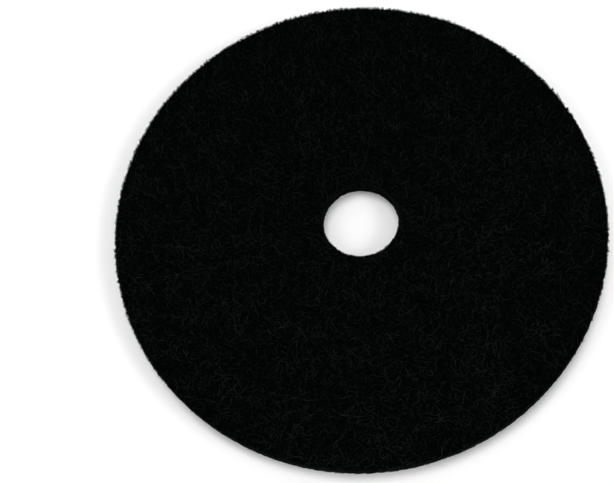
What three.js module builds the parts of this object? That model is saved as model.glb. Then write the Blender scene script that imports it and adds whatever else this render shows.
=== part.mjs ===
// A round floor polishing pad: one disc of springy non-woven nylon web, die cut from a sheet with a
// round centre hole, and lying flat. It is a single piece, the same on both faces.
// Millimetres, +Z up. The origin is the centre of the face that the pad lies on.

import * as THREE from "three";

// The sizes that the pad is cut to.
const padDiameter = 533; // a 21-inch pad
const padThickness = 22; // about 7/8 inch of web at its full loft
const holeDiameter = 83; // the 3 1/4-inch centre hole that a driver's centring cup passes through

// The web gives under the cutting die and springs back, so a cut edge is a little rounded.
const rimEdgeRadius = 1.5;
const holeEdgeRadius = 1;

// How finely the round shapes are faceted.
const facetsAround = 96;
const facetsPerEdge = 4;

const rightAngle = Math.PI / 2;
const webBlack = 0x0d0f10;

// The pad's section, out to one side of its axis: x is the radius and y the height. It is a bar from
// the hole's wall to the rim, flat above and below, with a quarter round at each of its four edges.
function padSection() {
  const rimRadius = padDiameter / 2;
  const holeRadius = holeDiameter / 2;
  const rimEdge = rimRadius - rimEdgeRadius;
  const holeEdge = holeRadius + holeEdgeRadius;

  const section = new THREE.Path();
  section.absarc(rimEdge, rimEdgeRadius, rimEdgeRadius, -rightAngle, 0);
  section.absarc(rimEdge, padThickness - rimEdgeRadius, rimEdgeRadius, 0, rightAngle);
  section.absarc(holeEdge, padThickness - holeEdgeRadius, holeEdgeRadius, rightAngle, 2 * rightAngle);
  section.absarc(holeEdge, holeEdgeRadius, holeEdgeRadius, 2 * rightAngle, 3 * rightAngle);
  section.closePath();
  // A path divides each arc into twice the number that it is asked for.
  return section.getPoints(facetsPerEdge / 2);
}

// The whole pad: its section turned once round the axis, then stood with that axis upright.
function makePad() {
  const disc = new THREE.LatheGeometry(padSection(), facetsAround);
  disc.rotateX(rightAngle);

  const web = new THREE.MeshStandardMaterial({ color: webBlack, roughness: 0.95, metalness: 0 });
  web.name = "resin-bonded nylon web";

  const pad = new THREE.Mesh(disc, web);
  pad.name = "pad";
  return pad;
}

const floorPolishingPad = new THREE.Group();
floorPolishingPad.add(makePad());

export default floorPolishingPad;
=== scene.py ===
# %% [markdown]
# # A floor polishing pad
#
# The real pad is one thick round mat of non-woven nylon. Crimped fibres are blown into a loose web,
# sprayed with black resin and grit, baked hard, and die cut to a disc with a hole in its centre.
# Seen close, it is thousands of stiff curly strands with air between them. Seen from a step away, it
# is a plain black disc whose edges are not quite sharp, because single fibres stand out of them.
#
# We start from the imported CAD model. It fixes where everything is, in metres, with the pad lying on
# the floor at height 0 and its axis at the origin.

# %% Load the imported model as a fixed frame
import math

import bpy
import numpy as np
from mathutils import Matrix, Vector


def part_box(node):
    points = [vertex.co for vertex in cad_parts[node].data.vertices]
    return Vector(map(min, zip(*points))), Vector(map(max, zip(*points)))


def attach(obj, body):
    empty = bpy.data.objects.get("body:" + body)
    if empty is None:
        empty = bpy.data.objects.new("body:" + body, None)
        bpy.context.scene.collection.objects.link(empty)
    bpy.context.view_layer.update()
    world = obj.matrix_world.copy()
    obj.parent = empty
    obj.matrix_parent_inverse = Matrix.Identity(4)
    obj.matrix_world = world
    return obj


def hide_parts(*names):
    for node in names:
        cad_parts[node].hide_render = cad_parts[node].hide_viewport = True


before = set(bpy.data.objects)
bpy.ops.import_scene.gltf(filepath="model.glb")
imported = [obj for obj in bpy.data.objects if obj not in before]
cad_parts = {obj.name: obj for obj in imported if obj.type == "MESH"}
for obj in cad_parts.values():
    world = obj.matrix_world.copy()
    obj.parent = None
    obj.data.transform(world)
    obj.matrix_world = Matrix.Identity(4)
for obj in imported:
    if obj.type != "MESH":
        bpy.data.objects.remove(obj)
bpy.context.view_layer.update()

# %% [markdown]
# The pad's sizes are measured on the CAD node, so that they are never written twice. The hole is the
# ring of vertices nearest to the axis. Only what the node's box can't tell is written here: how far
# the cutting die rounds the edges.

# %% Measure the pad
mm = 0.001
low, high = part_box("pad")
cad_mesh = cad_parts["pad"].data
cad_points = np.empty(len(cad_mesh.vertices) * 3)
cad_mesh.vertices.foreach_get("co", cad_points)
cad_points = cad_points.reshape(-1, 3)

rim_radius = (high[0] - low[0]) / 2
hole_radius = np.hypot(cad_points[:, 0], cad_points[:, 1]).min()
thickness = high[2] - low[2]
rim_edge = 1.5 * mm
hole_edge = 1.0 * mm
print(f"pad {2 * rim_radius / mm:.0f} mm wide, {thickness / mm:.0f} mm thick,",
      f"hole {2 * hole_radius / mm:.0f} mm")

# %% [markdown]
# ## The pad's skin as a map
#
# Every strand lies near the pad's outer surface, so we first make that surface easy to walk on. Cut
# the pad in half and look at the cut: it is a bar with four rounded corners. One number, the length
# walked round that outline, and one angle round the axis then name every spot of the skin. A strand
# that is drawn as a walk in these two numbers follows the faces, turns over the edges and goes down
# into the hole all by itself, with no special cases.

# %% The outline of the section
corner_steps = 9
corner_centres = [
    (rim_radius - rim_edge, rim_edge, rim_edge, -90),
    (rim_radius - rim_edge, thickness - rim_edge, rim_edge, 0),
    (hole_radius + hole_edge, thickness - hole_edge, hole_edge, 90),
    (hole_radius + hole_edge, hole_edge, hole_edge, 180),
]


def corner(centre_r, centre_z, radius, start_degrees):
    """A quarter round: centre plus radius times (cos, sin) of angles from the start to 90 degrees on.
    Each row is (radius from the axis, height, normal's radial part, normal's upward part)."""
    turn = np.radians(start_degrees + np.linspace(0, 90, corner_steps))
    across, up = np.cos(turn), np.sin(turn)
    return np.column_stack([centre_r + radius * across, centre_z + radius * up, across, up])


outline = np.concatenate([corner(*c) for c in corner_centres])
outline = np.concatenate([outline, outline[:1]])
outline_steps = np.hypot(*np.diff(outline[:, :2], axis=0).T)
outline_length = np.concatenate([[0], np.cumsum(outline_steps)])
rim_end, top_end, hole_end, bottom_end = outline_length[
    [2 * corner_steps - 1, 2 * corner_steps, 4 * corner_steps - 1, 4 * corner_steps]
]
rim_span = (0, rim_end)
top_span = (rim_end, top_end)
hole_span = (top_end, hole_end)
bottom_span = (hole_end, bottom_end)
print(f"the outline is {bottom_end / mm:.0f} mm round, of which the rim is {rim_end / mm:.1f} mm")


# %% Points on the skin
radius_column, height_column, radial_column, upward_column = range(4)


def across_outline(walked, column):
    """A column of the outline at the lengths walked round it, which may pass its end and go on."""
    return np.interp(walked % bottom_end, outline_length, outline[:, column])


def skin(walked, around, lift):
    """Points on the skin and their outward normals. The outline gives a radius, a height and a normal;
    the point moves out along the normal by lift, and is then turned round the axis by around:
    x = r cos(around), y = r sin(around)."""
    radial, upward = across_outline(walked, radial_column), across_outline(walked, upward_column)
    flat = across_outline(walked, radius_column) + lift * radial
    height = across_outline(walked, height_column) + lift * upward
    points = np.stack([flat * np.cos(around), flat * np.sin(around), height], axis=-1)
    normals = np.stack([radial * np.cos(around), radial * np.sin(around), upward], axis=-1)
    return points, normals


# %% [markdown]
# A baked web is uneven. Where more fibre fell it stands a little proud, and where less fell it sinks.
# Value noise makes that: random numbers on a cubic lattice, blended smoothly in between. It depends
# only on a place in space, so the body of the pad and the strands on it rise and fall together. Each
# use takes a lattice of its own, named by a layer number.

# %% Uneven loft
lattice_side = 64
seed = 21
loft_layer, tooth_layer = 0, 1


def cloud(points, grain, layer):
    """Smooth random cloud from 0 to 1: the eight random lattice values round a point, weighted along
    each axis by the S-curve 3t^2 - 2t^3 of how far the point is across its cell of size grain."""
    lattice = np.random.default_rng(seed + layer).random((lattice_side,) * 3)
    cell = np.floor(points / grain).astype(int)
    part = points / grain - cell
    part = part * part * (3 - 2 * part)
    total = np.zeros(points.shape[:-1])
    for step in np.ndindex(2, 2, 2):
        x, y, z = np.moveaxis((cell + step) % lattice_side, -1, 0)
        weight = np.prod(np.where(np.array(step) == 1, part, 1 - part), axis=-1)
        total += weight * lattice[x, y, z]
    return total


sink_depth = 0.8 * mm
wall_share = 0.25
sink_grain = 9 * mm


def sink(points, upward):
    """How far the web lies below the pad's true surface: a cloud of broad hollows, at full depth on the
    faces, where the normal points up or down, and shallow on the walls, which the die cut straight."""
    depth = sink_depth * (wall_share + (1 - wall_share) * np.abs(upward))
    return depth * cloud(points, sink_grain, loft_layer)


# %% [markdown]
# ## From arrays to a mesh
#
# Every piece here ends as an array of points and an array of faces. One helper turns them into a
# smooth-shaded Blender mesh with a UV map. Arrays go in whole, which is what makes a few hundred
# thousand faces quick to make.

# %% Mesh and piece helpers
def make_piece(name, points, quads, triangles, uv, material, shade=None):
    """A Blender object from whole arrays: points (n, 3), quads (q, 4), triangles (t, 3), and one UV pair
    for each corner of each face, quads first. shade is one number for each point."""
    corners = np.concatenate([quads.ravel(), triangles.ravel()])
    sizes = np.repeat([4, 3], [len(quads), len(triangles)])
    mesh = bpy.data.meshes.new(name)
    mesh.vertices.add(len(points))
    mesh.vertices.foreach_set("co", points.ravel())
    mesh.loops.add(len(corners))
    mesh.loops.foreach_set("vertex_index", corners)
    mesh.polygons.add(len(sizes))
    mesh.polygons.foreach_set("loop_start", np.cumsum(sizes) - sizes)
    mesh.update(calc_edges=True)
    mesh.shade_smooth()
    mesh.uv_layers.new(name="OFBake").uv.foreach_set("vector", uv.astype(np.float32).ravel())
    if shade is not None:
        spread = mesh.attributes.new("strand_shade", "FLOAT", "POINT")
        spread.data.foreach_set("value", shade.astype(np.float32))
    mesh.materials.append(material)
    piece = bpy.data.objects.new(name, mesh)
    bpy.context.collection.objects.link(piece)
    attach(piece, "root")
    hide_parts("pad")
    print(f"{name}: {2 * len(quads) + len(triangles):,} triangles")
    return piece


# %% [markdown]
# ## Finishes
#
# Nylon is a clear, hard plastic that takes dye all through. Here each strand also wears a coat of
# black phenolic resin with mineral grit in it, so light meets a rough black crust. Light that gets
# between the strands is caught there, and little of it comes back: that is why the pad looks much
# blacker than any one of its strands. A shader can't know about that trapping below the size of the
# mesh, so the colours are chosen dark enough to stand for it, and the gloss is nearly off.
#
# Colours are written as sRGB hex, as one would pick them on a screen, and one function turns them to
# the linear light that the shaders work in.

# %% Colour and node helpers
def linear(hex_colour):
    """sRGB hex to linear light: v / 12.92 below 0.04045, and ((v + 0.055) / 1.055) ** 2.4 above."""
    parts = [int(hex_colour[i:i + 2], 16) / 255 for i in (1, 3, 5)]
    return [v / 12.92 if v <= 0.04045 else ((v + 0.055) / 1.055) ** 2.4 for v in parts] + [1.0]


def add_node(tree, kind, settings=None, **sockets):
    """Adds a node. settings are the node's own properties. Each socket, named with _ for a space, gets
    either a plain value or a link from another node's output socket."""
    node = tree.nodes.new(kind)
    for key, value in (settings or {}).items():
        setattr(node, key, value)
    for key, value in sockets.items():
        socket = node.inputs[key.replace("_", " ")]
        if isinstance(value, bpy.types.NodeSocket):
            tree.links.new(value, socket)
        else:
            socket.default_value = value
    return node


def new_material(name):
    """An empty node material and its tree."""
    material = bpy.data.materials.new(name)
    material.use_nodes = True
    material.node_tree.nodes.clear()
    return material, material.node_tree


per_mm = 1 / mm  # a texture with Scale 1 repeats about once a metre, so a grain of g mm has per_mm / g

# %% [markdown]
# ### Strands: nylon coated with black resin and grit
#
# Each strand has a shade of its own, because some are coated more thickly than others, and it darkens
# where the strand dives, because less light gets down there. That shade is an attribute of the mesh,
# one number for each point, mixed with a cloud a few millimetres wide that follows where the resin
# spray fell. The grit is a fine noise: real grit is about 0.1 mm, and it is drawn at 0.4 mm, because
# anything finer would vanish in the picture. The faint sheen stands for the frayed skin of the coat,
# which shows lightest where a strand turns away from the eye. The fibre ends round the rim get a second
# version, a little lighter in its darks and greener: partly the bare nylon that the cut leaves, and
# partly painted light that the rim's ends catch.

# %% Strand material
spray_grain = 6
grit_grain = 0.4
grit_height = 0.15 * mm
darkest_shade, lightest_shade = 0.08, 0.6
smooth_coat, gritty_coat = 0.55, 0.9
nylon_ior = 1.53
trapped_gloss = 0.02
fray_sheen, fray_spread, fray_tint = 0.08, 0.3, "#9fb5b4"


def resin_coated_nylon(name, dark, light):
    """The colour goes from dark to light as the strand's shade times the spray's cloud goes from
    darkest_shade to lightest_shade. The roughness goes from smooth_coat to gritty_coat with the grit."""
    material, tree = new_material(name)
    place = add_node(tree, "ShaderNodeTexCoord")
    shade = add_node(tree, "ShaderNodeAttribute", {"attribute_name": "strand_shade"})
    spray = add_node(tree, "ShaderNodeTexNoise", Vector=place.outputs["Object"],
                     Scale=per_mm / spray_grain, Detail=3.0)
    grit = add_node(tree, "ShaderNodeTexNoise", Vector=place.outputs["Object"],
                    Scale=per_mm / grit_grain, Detail=1.0)
    both = add_node(tree, "ShaderNodeMath", {"operation": "MULTIPLY"})
    tree.links.new(shade.outputs["Fac"], both.inputs[0])
    tree.links.new(spray.outputs["Fac"], both.inputs[1])
    colour = add_node(tree, "ShaderNodeValToRGB", Fac=both.outputs["Value"])
    colour.color_ramp.elements[0].position = darkest_shade
    colour.color_ramp.elements[0].color = linear(dark)
    colour.color_ramp.elements[1].position = lightest_shade
    colour.color_ramp.elements[1].color = linear(light)
    rough = add_node(tree, "ShaderNodeMapRange", Value=grit.outputs["Fac"],
                     To_Min=smooth_coat, To_Max=gritty_coat)
    bump = add_node(tree, "ShaderNodeBump", Height=grit.outputs["Fac"], Strength=0.5,
                    Distance=grit_height)
    surface = add_node(tree, "ShaderNodeBsdfPrincipled", Base_Color=colour.outputs["Color"],
                       Roughness=rough.outputs["Result"], Normal=bump.outputs["Normal"],
                       Specular_IOR_Level=trapped_gloss, IOR=nylon_ior, Sheen_Weight=fray_sheen,
                       Sheen_Roughness=fray_spread, Sheen_Tint=linear(fray_tint))
    add_node(tree, "ShaderNodeOutputMaterial", Surface=surface.outputs["BSDF"])
    return material


strand_finish = resin_coated_nylon("resin coated nylon strand", "#000000", "#222829")
# The ends' finish is lighter and greener: partly the bare cut nylon, partly painted light that the rim's
# ends catch.
bare_and_lit_end_finish = resin_coated_nylon("cut nylon end with painted light", "#050808", "#1f2b2a")
print("made:", strand_finish.name, "and", bare_and_lit_end_finish.name)

# %% [markdown]
# ### The web below
#
# Between the top strands one sees more strands, deeper and darker. There are far too many to model,
# so the body of the pad carries them as a pattern. A Voronoi texture's distance to the nearest cell
# edge draws a net of lines; bent by a noise, and laid twice at two sizes, it reads as a tangle. The
# lines stand up as bump, and the cells between them fall away to black, which is painted shade in the
# gaps between the strands.

# %% Body material
net_pitch = 3.2
fine_net_pitch = 1.9
bend_grain = 5
bend_reach = 1.6 * mm
line_core, line_border = 0.02, 0.16
net_height = 0.6 * mm
# The cells' black is painted shade in the gaps between the strands; the lines' near black is the deeper
# strands.
painted_gap_shade, net_black = "#000000", "#060707"
web_roughness = 0.85


def open_web():
    """Height is 1 where the nearer of the two nets' lines is closer than line_core, and falls on an
    S-curve to 0 at line_border, both as shares of a cell. The colour and the bump follow that height."""
    material, tree = new_material("open nylon web")
    place = add_node(tree, "ShaderNodeTexCoord")
    bend = add_node(tree, "ShaderNodeTexNoise", Vector=place.outputs["Object"],
                    Scale=per_mm / bend_grain, Detail=2.0)
    bent = add_node(tree, "ShaderNodeVectorMath", {"operation": "MULTIPLY_ADD"})
    tree.links.new(bend.outputs["Color"], bent.inputs[0])
    bent.inputs[1].default_value = (bend_reach,) * 3
    tree.links.new(place.outputs["Object"], bent.inputs[2])
    nets = [
        add_node(tree, "ShaderNodeTexVoronoi", {"feature": "DISTANCE_TO_EDGE"},
                 Vector=bent.outputs["Vector"], Scale=per_mm / pitch)
        for pitch in (net_pitch, fine_net_pitch)
    ]
    nearest = add_node(tree, "ShaderNodeMath", {"operation": "MINIMUM"})
    tree.links.new(nets[0].outputs["Distance"], nearest.inputs[0])
    tree.links.new(nets[1].outputs["Distance"], nearest.inputs[1])
    strand = add_node(tree, "ShaderNodeMapRange", {"interpolation_type": "SMOOTHSTEP"},
                      Value=nearest.outputs["Value"], From_Min=line_core, From_Max=line_border,
                      To_Min=1.0, To_Max=0.0)
    colour = add_node(tree, "ShaderNodeValToRGB", Fac=strand.outputs["Result"])
    colour.color_ramp.elements[0].color = linear(painted_gap_shade)
    colour.color_ramp.elements[1].color = linear(net_black)
    bump = add_node(tree, "ShaderNodeBump", Height=strand.outputs["Result"], Strength=0.9,
                    Distance=net_height)
    surface = add_node(tree, "ShaderNodeBsdfPrincipled", Base_Color=colour.outputs["Color"],
                       Normal=bump.outputs["Normal"], Roughness=web_roughness,
                       Specular_IOR_Level=0.0)
    add_node(tree, "ShaderNodeOutputMaterial", Surface=surface.outputs["BSDF"])
    return material


body_finish = open_web()
print("made:", body_finish.name)

# %% [markdown]
# ## The body of the web
#
# The body is a closed ring, worked out as a grid: columns go round the axis, rows go round the
# section's outline, and both close on themselves, so there is no seam or pole to mend. It lies a
# little below the pad's true faces, because the outermost strands fill the rest. A baked web is
# stiff, and neither sags nor wrinkles.

# %% Body
body_columns = 440
body_rows = {"rim": 12, "top": 46, "hole": 10, "bottom": 20}
body_inset = 0.7 * mm


def web_body():
    """Each grid point is a point of the skin, moved in by body_inset and by the web's uneven loft."""
    spans = dict(rim=rim_span, top=top_span, hole=hole_span, bottom=bottom_span)
    walked = np.concatenate([
        np.linspace(*spans[part], rows, endpoint=False) for part, rows in body_rows.items()
    ])
    rows = len(walked)
    around = np.linspace(0, 2 * np.pi, body_columns, endpoint=False)
    around_grid, walked_grid = np.meshgrid(around, walked, indexing="ij")
    flat, normals = skin(walked_grid, around_grid, 0)
    points, _ = skin(walked_grid, around_grid, -body_inset - sink(flat, normals[..., 2]))

    column, row = np.meshgrid(np.arange(body_columns), np.arange(rows), indexing="ij")
    next_column, next_row = (column + 1) % body_columns, (row + 1) % rows
    quads = np.stack([
        column * rows + row, next_column * rows + row,
        next_column * rows + next_row, column * rows + next_row,
    ], axis=-1).reshape(-1, 4)
    u = np.stack([column, column + 1, column + 1, column], axis=-1) / body_columns
    v = np.stack([row, row, row + 1, row + 1], axis=-1) / rows
    uv = np.stack([u, v], axis=-1)
    none = np.empty((0, 3), int)
    return make_piece("web_body", points.reshape(-1, 3), quads, none, uv, body_finish)


body = web_body()

# %% [markdown]
# ## Strands
#
# A strand is a thin tube along a path. Three sides are enough, because a strand is half a millimetre
# thick and smooth shading rounds it. Each path is a walk on the skin: its heading starts somewhere,
# bends slowly one way, and swings with the crimp that the fibre was given in the mill. While it
# walks, the strand also rises and dives, so that it passes over some neighbours and under others.
#
# The fibres fell flat when the web was laid. From above they head every way, but on a cut wall they
# are seen from the side, nearly level and nearly straight, like hay in the side of a bale.

# %% Walks on the skin
step_length = 2.6 * mm
face_bend, wall_bend = 9 * mm, 45 * mm
any_way, nearly_level, loosely_level = math.pi, 0.35, 0.9
crimp_pitch = 14 * mm
crimp_swing = 0.35
dive_pitch = 13 * mm
dive_reach = 0.45 * mm
dive_bases = (-0.75 * mm, 0.05 * mm)
strand_radii = (0.2 * mm, 0.36 * mm)
full_dark = 2.0 * mm
least_light = 0.2
span_samples = 400


def even_places(span, count, rng):
    """Places spread evenly over a stretch of the skin. The skin's area grows as its radius times the
    length walked, so even random numbers are sent back through the running sum of the radius."""
    walked = np.linspace(*span, span_samples)
    area = np.cumsum(across_outline(walked, radius_column))
    return np.interp(rng.uniform(area[0], area[-1], count), area, walked)


def walks(span, count, points, stray, bend_radius, rng):
    """Paths of strands as (walked, around), each (count, points). Heading = start + bend * length +
    swing * sin(length), where a start of 90 degrees runs round the axis and strays by up to stray to
    either side. Each step adds cos(heading) along the outline and sin(heading) / radius round the
    axis. The walk is shifted so that its middle lies on the starting place."""
    length = np.arange(points) * step_length
    start = np.pi / 2 + rng.uniform(-stray, stray, (count, 1))
    bend = rng.normal(0, 1 / bend_radius, (count, 1))
    phase = rng.uniform(0, 2 * np.pi, (count, 1))
    heading = start + bend * length + crimp_swing * np.sin(2 * np.pi * length / crimp_pitch + phase)
    walked = np.cumsum(step_length * np.cos(heading), axis=1)
    walked += even_places(span, count, rng)[:, None] - walked[:, points // 2, None]
    radius = across_outline(walked, radius_column)
    around = np.cumsum(step_length * np.sin(heading) / radius, axis=1)
    around += rng.uniform(0, 2 * np.pi, (count, 1)) - around[:, points // 2, None]
    return walked, around


def woven_strands(span, count, points, proud, stray, bend_radius, rng):
    """Walks laid into the web. Each dives as base + reach * sin(length), sinks with the uneven loft,
    and never stands more than proud out of the pad's true face. Its shade is a random share of the
    light that reaches its depth, which falls evenly to 0 at full_dark below the highest strands."""
    walked, around = walks(span, count, points, stray, bend_radius, rng)
    radii = rng.uniform(*strand_radii, count)
    length = np.arange(points) * step_length
    base = rng.uniform(*dive_bases, (count, 1))
    phase = rng.uniform(0, 2 * np.pi, (count, 1))
    dive = base + dive_reach * np.sin(2 * np.pi * length / dive_pitch + phase)
    flat, normals = skin(walked, around, 0)
    lift = np.minimum(dive - sink(flat, normals[..., 2]), proud) - radii[:, None]
    paths, _ = skin(walked, around, lift)
    paths[..., 2] = np.maximum(paths[..., 2], radii[:, None])
    light = np.clip(1 + (lift + radii[:, None] - proud) / full_dark, 0, 1)
    return paths, normals, radii, light * rng.uniform(least_light, 1, (count, 1))


# %% Tubes along paths
tube_sides = 3
end_taper = 0.6
tiny = 1e-9


def tubes(paths, normals, radii):
    """Closed tubes. Each path point gets a ring: the path's direction T and the skin's normal give two
    directions square to the path, U and T x U, and the ring's corners are the point plus radius times
    cos(a) U + sin(a) T x U. Neighbouring rings are joined by quads and the ends by triangles."""
    count, points, _ = paths.shape
    along = np.gradient(paths, axis=1)
    along /= np.linalg.norm(along, axis=-1, keepdims=True)
    side = np.cross(along, normals)
    side /= np.maximum(np.linalg.norm(side, axis=-1, keepdims=True), tiny)
    up = np.cross(side, along)
    turn = 2 * np.pi * np.arange(tube_sides) / tube_sides
    thick = np.ones(points)
    thick[[0, -1]] = end_taper
    radius = radii[:, None, None, None] * thick[:, None, None]
    ring = np.cos(turn)[:, None] * up[:, :, None] + np.sin(turn)[:, None] * side[:, :, None]
    corners = (paths[:, :, None] + radius * ring).reshape(-1, 3)

    index = np.arange(count * points * tube_sides).reshape(count, points, tube_sides)
    turned = np.roll(index, -1, axis=2)
    quads = np.stack([index[:, :-1], turned[:, :-1], turned[:, 1:], index[:, 1:]], axis=-1)
    starts = index[:, 0, ::-1]
    ends = index[:, -1]
    return corners, quads.reshape(-1, 4), np.concatenate([starts, ends])


tile_length = (0.08, 0.92)
tile_girth = (0.06, 0.8)
cap_tile = np.array([[0.1, 0.86], [0.4, 0.86], [0.25, 0.96]])
next_cap = (0.5, 0.0)


def tube_uv(count, points):
    """A UV map with one small tile for each tube, its length across and its sides up the tile. The two
    end caps have small triangles of their own at the top of the tile."""
    columns = math.ceil(math.sqrt(count))
    tile = np.stack(np.divmod(np.arange(count), columns)[::-1], axis=-1)
    u = np.linspace(*tile_length, points)
    v = np.linspace(*tile_girth, tube_sides + 1)
    left = np.meshgrid(u[:-1], v[:-1], indexing="ij")
    right = np.meshgrid(u[1:], v[1:], indexing="ij")
    quad = np.stack([
        np.stack([left[0], left[1]], -1), np.stack([left[0], right[1]], -1),
        np.stack([right[0], right[1]], -1), np.stack([right[0], left[1]], -1),
    ], axis=2).reshape(-1, 2)
    quad_uv = (tile[:, None] + quad) / columns
    start_uv = (tile[:, None] + cap_tile) / columns
    end_uv = (tile[:, None] + cap_tile + next_cap) / columns
    return np.concatenate([quad_uv.reshape(-1, 2), start_uv.reshape(-1, 2), end_uv.reshape(-1, 2)])


def strand_piece(name, finish, paths, normals, radii, shade):
    """One piece from many tubes. shade has one number for each point of each path."""
    count, points, _ = paths.shape
    corners, quads, caps = tubes(paths, normals, radii)
    shade = np.repeat(shade.ravel(), tube_sides)
    return make_piece(name, corners, quads, caps, tube_uv(count, points), finish, shade)


# %% [markdown]
# The faces, the rim and the hole's wall each get their own strands. The upper face gets two layers,
# because it is the one that is looked at. The face that the pad lies on keeps all its strands above
# the floor. Each piece stays under 200,000 triangles. A row gives the stretch of the skin, the number
# of strands, how far one may stand proud, how far its start may stray from running round the axis, and
# about what radius it bends to.

# %% Strands of the faces and the cut walls
strand_points = 9
strand_seed = seed + 10
layers = {
    "top_strands": (top_span, 3900, 0.25 * mm, any_way, face_bend),
    "top_strands_over": (top_span, 3900, 0.35 * mm, any_way, face_bend),
    "bottom_strands": (bottom_span, 2200, 0.0, any_way, face_bend),
    "rim_strands": (rim_span, 2000, 0.3 * mm, nearly_level, wall_bend),
    "hole_strands": (hole_span, 460, 0.2 * mm, loosely_level, wall_bend),
}
for layer, (name, (span, count, proud, stray, bend_radius)) in enumerate(layers.items()):
    rng = np.random.default_rng(strand_seed + layer)
    strand_piece(name, strand_finish,
                 *woven_strands(span, count, strand_points, proud, stray, bend_radius, rng))

# %% [markdown]
# ## Cut ends
#
# The die cuts through the web, so the rim and the hole are full of fibre ends. They point outwards,
# most of them for a millimetre or less. The web is bunched, so they reach further in some places than
# in others, and from a step away that reads as small teeth along the edge. The die comes from above and
# drags fibres along, so the upper edge is the fuzziest. In the photograph one side of the rim is more
# frayed than the other. Most ends are straight stubs, which a tube with one step can draw. A few long
# ones are curved, and take more.

# %% Fibre ends on the cut walls
end_root = 1.4 * mm
least_reach = 0.2 * mm
end_lean = 0.8 * mm
own_lean = end_lean / 3
end_radii = (0.15 * mm, 0.3 * mm)
ends_per_clump = 3
clump_width = 0.7 * mm
tooth_grain = 1.3 * mm
loose_share = 0.25
least_share = 0.5
dark_power = 1.5
frayed_side = math.radians(90)
frayed_more = 0.5


def cut_ends(span, clumps, points, reach, most, rng, spots=None):
    """Short strands that start inside the web and end outside it. A length t from 0 to 1 along each
    gives lift = -root + t * (root + reach) and a sideways lean that grows as t^2. A clump's ends share
    most of their lean, and each reaches a random share of the clump's reach. That reach is a tooth, the
    square of a cloud that varies along the edge but not up it, so that ends above each other reach
    about as far. To it each clump adds a random amount, small for most and large for a few, and all of
    it grows as 1 + frayed_more * cos(angle from the frayed side). The shade is t times a random number
    to the dark_power, which leaves more of the ends dark. An end runs along the skin's normal, so its
    tube is built on a sideways direction instead."""
    count = clumps * ends_per_clump
    t = np.linspace(0, 1, points)

    def shared(values):
        """Each clump's value, once for each of its ends."""
        return np.repeat(values, ends_per_clump)[:, None]

    around = rng.uniform(0, 2 * np.pi, clumps) if spots is None else spots
    frayed = 1 + frayed_more * np.cos(around - frayed_side)
    roots = rim_radius * np.column_stack([np.cos(around), np.sin(around), np.zeros(clumps)])
    tooth = cloud(roots, tooth_grain, tooth_layer) ** 2 + rng.exponential(loose_share, clumps)
    out = reach * shared(tooth * frayed) * rng.uniform(least_share, 1, (count, 1))
    out = np.minimum(least_reach + out, most)
    lean = [shared(rng.normal(0, end_lean, clumps)) + rng.normal(0, own_lean, (count, 1))
            for _ in range(2)]
    walked = shared(even_places(span, clumps, rng)) + rng.normal(0, clump_width / 2, (count, 1))
    walked = walked + lean[0] * t**2
    beside = rng.normal(0, clump_width / 2, (count, 1)) + lean[1] * t**2
    around = shared(around) + beside / across_outline(walked, radius_column)
    paths, normals = skin(walked, around, -end_root + t * (end_root + out))
    paths[..., 2] = np.maximum(paths[..., 2], end_radii[1])
    sideways = np.cross(normals, [0.0, 0.0, 1.0])
    # t darkens each end towards its root, which lies inside the web: painted shade. The random number
    # gives each end its own tone.
    shade = t * rng.uniform(0, 1, (count, 1)) ** dark_power
    return paths, sideways, rng.uniform(*end_radii, count), shade


# %% [markdown]
# The ends come in five pieces: stubs on each wall, stubs along each wall's upper edge, and curls along
# the rim's upper edge. The wall pieces keep two radii away from the lower face, because the quarter
# round there is about one and a half radii long. The hole's ends lie in the pad's own shade, so they
# keep the darker finish of the strands. A row gives the finish, the stretch of the skin, the number of
# clumps and the points along an end, and then, in millimetres, how far a full tooth reaches and the
# most that any end may.

# %% Stubs and curls
edge_band = 2.0 * mm
edge_overlap = 0.8 * mm
rim_wall_span = (2 * rim_edge, rim_end - edge_band)
rim_edge_span = (rim_end - edge_band, rim_end + edge_overlap)
hole_edge_span = (top_end - edge_overlap, top_end + edge_band)
hole_wall_span = (top_end + edge_band, hole_end - 2 * hole_edge)
stub_points, curl_points = 2, 4
end_seed = seed + 30
cut_pieces = {
    "rim_wall_stubs": (bare_and_lit_end_finish, rim_wall_span, 2100, stub_points, 1.0, 1.8),
    "rim_edge_stubs": (bare_and_lit_end_finish, rim_edge_span, 6500, stub_points, 1.7, 2.6),
    "rim_edge_curls": (bare_and_lit_end_finish, rim_edge_span, 700, curl_points, 2.2, 3.2),
    "hole_edge_stubs": (strand_finish, hole_edge_span, 700, stub_points, 1.2, 1.8),
    "hole_wall_stubs": (strand_finish, hole_wall_span, 260, stub_points, 0.8, 1.6),
}
for layer, (name, (finish, span, clumps, points, reach, most)) in enumerate(cut_pieces.items()):
    rng = np.random.default_rng(end_seed + layer)
    strand_piece(name, finish, *cut_ends(span, clumps, points, reach * mm, most * mm, rng))

# %% [markdown]
# The photograph shows a few tufts that stand out further than the rest. Their places round the rim
# are angles from the +X direction, and each is a few clumps of longer ends side by side.

# %% Tufts on the rim
tuft_angles = np.radians([27, 73, 133, 244, 260])
clumps_per_tuft = 5
tuft_width = 1.3 * mm
tuft_reach = 3.6 * mm
tuft_seed = seed + 40
rng = np.random.default_rng(tuft_seed)
tuft_spots = np.repeat(tuft_angles, clumps_per_tuft)
tuft_spots = tuft_spots + rng.normal(0, tuft_width / rim_radius, tuft_spots.shape)
strand_piece("rim_tufts", bare_and_lit_end_finish,
             *cut_ends(rim_edge_span, len(tuft_spots), curl_points, tuft_reach, tuft_reach, rng,
                       tuft_spots))

# %% [markdown]
# ## Floor
#
# The pad lies on a plain white sheet. Its white is full white, so that the lit sheet meets the white
# surround with no line between them, while the pad's shadow still shows on it.

# %% Floor
floor_half = 6.0
paper_roughness = 0.9


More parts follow.
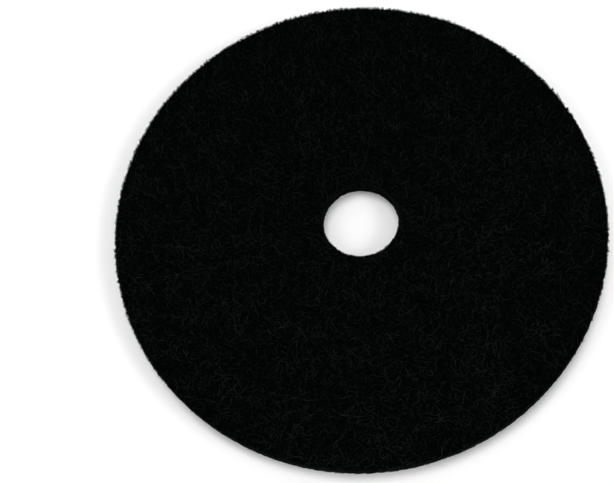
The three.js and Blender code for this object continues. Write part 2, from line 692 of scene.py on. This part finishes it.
def white_sheet():
    """Matt paper: full white, rough, and with no gloss."""
    material, tree = new_material("white paper sheet")
    surface = add_node(tree, "ShaderNodeBsdfPrincipled", Base_Color=linear("#ffffff"),
                       Roughness=paper_roughness, Specular_IOR_Level=0.0)
    add_node(tree, "ShaderNodeOutputMaterial", Surface=surface.outputs["BSDF"])
    return material


floor_mesh = bpy.data.meshes.new("floor")
floor_corners = [(x * floor_half, y * floor_half, 0) for x, y in ((-1, -1), (1, -1), (1, 1), (-1, 1))]
floor_mesh.from_pydata(floor_corners, [], [(0, 1, 2, 3)])
floor_mesh.materials.append(white_sheet())
floor = bpy.data.objects.new("floor", floor_mesh)
bpy.context.collection.objects.link(floor)
print("floor:", 2 * floor_half, "m square")

# %% [markdown]
# ## Light
#
# The shadow tells how the photograph was lit. Below the pad it is narrow and darkest, so the main lamp
# is wide and stands high behind the pad. At the left it is broad and pale, so a second lamp stands
# lower at the right. A little of it shows at the right too, so a faint third lamp stands at the left.
# All round it darkens where the pad meets the floor, because the pad shuts out the even light of the
# room. Three suns and a white world repeat that. Suns light the whole floor alike, so it stays one
# white. Their directions and shares were fitted to the shadow's brightness. With the world's strength
# the shares add up to a little over 1, so that the sheet is white and colours come out about as written.

# %% World and lamps
world_strength = 0.5
lamps = {
    "right_lamp": dict(azimuth=-21, elevation=39, width=19, share=0.144),
    "high_lamp": dict(azimuth=108, elevation=75, width=27, share=0.38),
    "left_lamp": dict(azimuth=187, elevation=48, width=16, share=0.057),
}


def seen_directly(tree):
    """1 for light that the camera, a reflection or a clear surface sees, and 0 for light that falls on
    other things."""
    path = add_node(tree, "ShaderNodeLightPath")
    seen = path.outputs["Is Camera Ray"]
    for other in ("Is Glossy Ray", "Is Transmission Ray"):
        both = add_node(tree, "ShaderNodeMath", {"operation": "MAXIMUM"})
        tree.links.new(seen, both.inputs[0])
        tree.links.new(path.outputs[other], both.inputs[1])
        seen = both.outputs["Value"]
    return seen


def white_world():
    """A white that lights the pad with world_strength and is seen at full strength behind it."""
    world = bpy.data.worlds.new("white surround")
    world.use_nodes = True
    tree = world.node_tree
    tree.nodes.clear()
    strength = add_node(tree, "ShaderNodeMapRange", Value=seen_directly(tree),
                        To_Min=world_strength, To_Max=1.0)
    back = add_node(tree, "ShaderNodeBackground", Color=(1, 1, 1, 1),
                    Strength=strength.outputs["Result"])
    add_node(tree, "ShaderNodeOutputWorld", Surface=back.outputs["Background"])
    return world


def wide_sun(name, azimuth, elevation, width, share):
    """A sun that stands azimuth degrees round from +X and elevation degrees up, and looks width degrees
    across. A sun of strength S lights a level white floor to S sin(elevation) / pi, so S is worked out
    from the share of white that it should give."""
    lamp = bpy.data.lights.new(name, "SUN")
    lamp.angle = math.radians(width)
    lamp.energy = share * math.pi / math.sin(math.radians(elevation))
    lamp_object = bpy.data.objects.new(name, lamp)
    lamp_object.matrix_world = (
        Matrix.Rotation(math.radians(azimuth + 90), 4, "Z")
        @ Matrix.Rotation(math.radians(90 - elevation), 4, "X")
    )
    bpy.context.collection.objects.link(lamp_object)
    print(f"{name}: strength {lamp.energy:.2f}")


bpy.context.scene.world = white_world()
for name, lamp_settings in lamps.items():
    wide_sun(name, **lamp_settings)
bpy.context.scene.view_settings.view_transform = "Standard"

# %% [markdown]
# ## Camera
#
# The camera was fitted to the outlines of the rim and of the hole in the photograph. It stands four
# pad radii away, 20 degrees off straight down, and is turned a little about its own three axes. The
# pad isn't in the middle of the picture, and the lens shift allows for that.

# %% Camera
picture_width, picture_height = 614, 483
lens_axis_pixel = (381.7, 228.4)
focal_pixels = 965.1
sensor_width = 36.0
camera_distance = 4 * rim_radius
camera_tilt = math.radians(20.442)
camera_turn = np.radians([-0.187, -1.197, -6.955])

camera_data = bpy.data.cameras.new("camera")
camera_data.sensor_width = sensor_width
camera_data.lens = focal_pixels / picture_width * sensor_width
camera_data.shift_x = (picture_width / 2 - lens_axis_pixel[0]) / picture_width
camera_data.shift_y = (lens_axis_pixel[1] - picture_height / 2) / picture_width
camera = bpy.data.objects.new("camera", camera_data)
camera.matrix_world = (
    Matrix.Rotation(camera_tilt, 4, "X")
    @ Matrix.Translation((0, 0, camera_distance))
    @ Matrix.Rotation(np.linalg.norm(camera_turn), 4, camera_turn.tolist())
)
bpy.context.collection.objects.link(camera)
bpy.context.scene.camera = camera
print(f"lens {camera_data.lens:.1f} mm, {camera_distance:.2f} m away")
